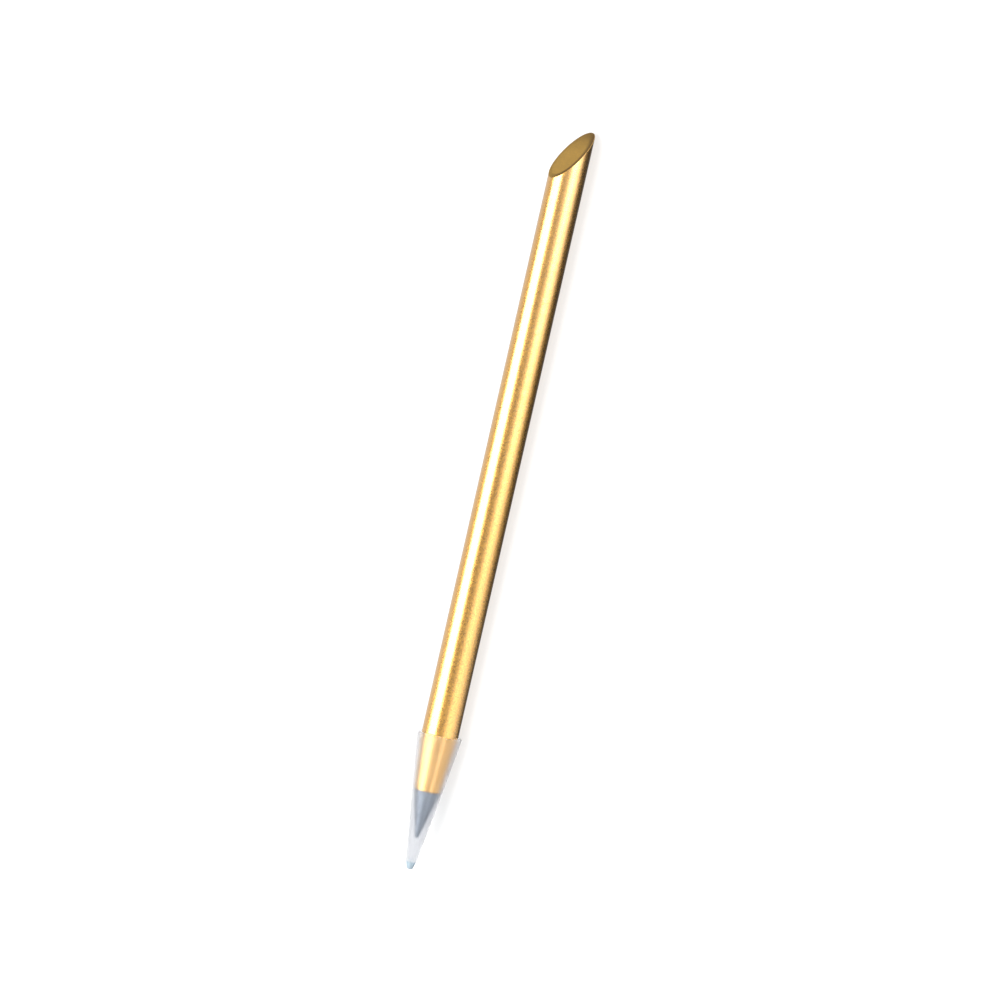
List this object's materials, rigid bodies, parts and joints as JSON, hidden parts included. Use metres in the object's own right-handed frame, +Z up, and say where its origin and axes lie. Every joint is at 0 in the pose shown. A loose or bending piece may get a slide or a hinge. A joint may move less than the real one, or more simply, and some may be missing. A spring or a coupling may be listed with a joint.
{
  "type": "inkless pencil",
  "caption": "Inkless metal pencil: round gold barrel with a tapered nose and slant-cut tail, screw-in alloy writing point, and a translucent conical push-on cap.",
  "frame": {"origin": "on the surface that the pencil lies on, below the middle of its length with the cap on", "axes": "+X along the barrel from the nib to the slanted tail, +Z up, with the slanted face looking up and towards +X"},
  "size_m": [0.162, 0.0096, 0.0095],
  "materials": {
    "gold_anodised": "fine bead-blasted, gold anodised, satin",
    "stud_steel": "satin, turned",
    "writing_alloy": "satin, finely turned, dull grey",
    "frosted_plastic": "satin, translucent, faintly blue at the solid end"
  },
  "bodies": {
    "barrel": {"barrel": "gold_anodised"},
    "nib_stud": {"nib_stud": "stud_steel"},
    "nib": {"nib": "writing_alloy"},
    "cap": {"cap": "frosted_plastic"}
  },
  "joints": [
    {"name": "nib_advance", "type": "slide", "parent": "barrel", "child": "nib_stud", "axis": [-1, 0, 0], "range_m": [0, 0.0056]},
    {"name": "nib_unscrew", "type": "hinge", "parent": "nib_stud", "child": "nib", "pos_m": [-0.0637, 0, 0.00477], "axis": [-1, 0, 0], "range_deg": [0, 2880]},
    {"name": "cap_pull", "type": "slide", "parent": "nib_stud", "child": "cap", "axis": [-1, 0, 0], "range_m": [0, 0.03]}
  ],
  "couplings": [
    {"joint": "nib_unscrew", "follows": "nib_advance", "rad_per_m": 8976}
  ]
}
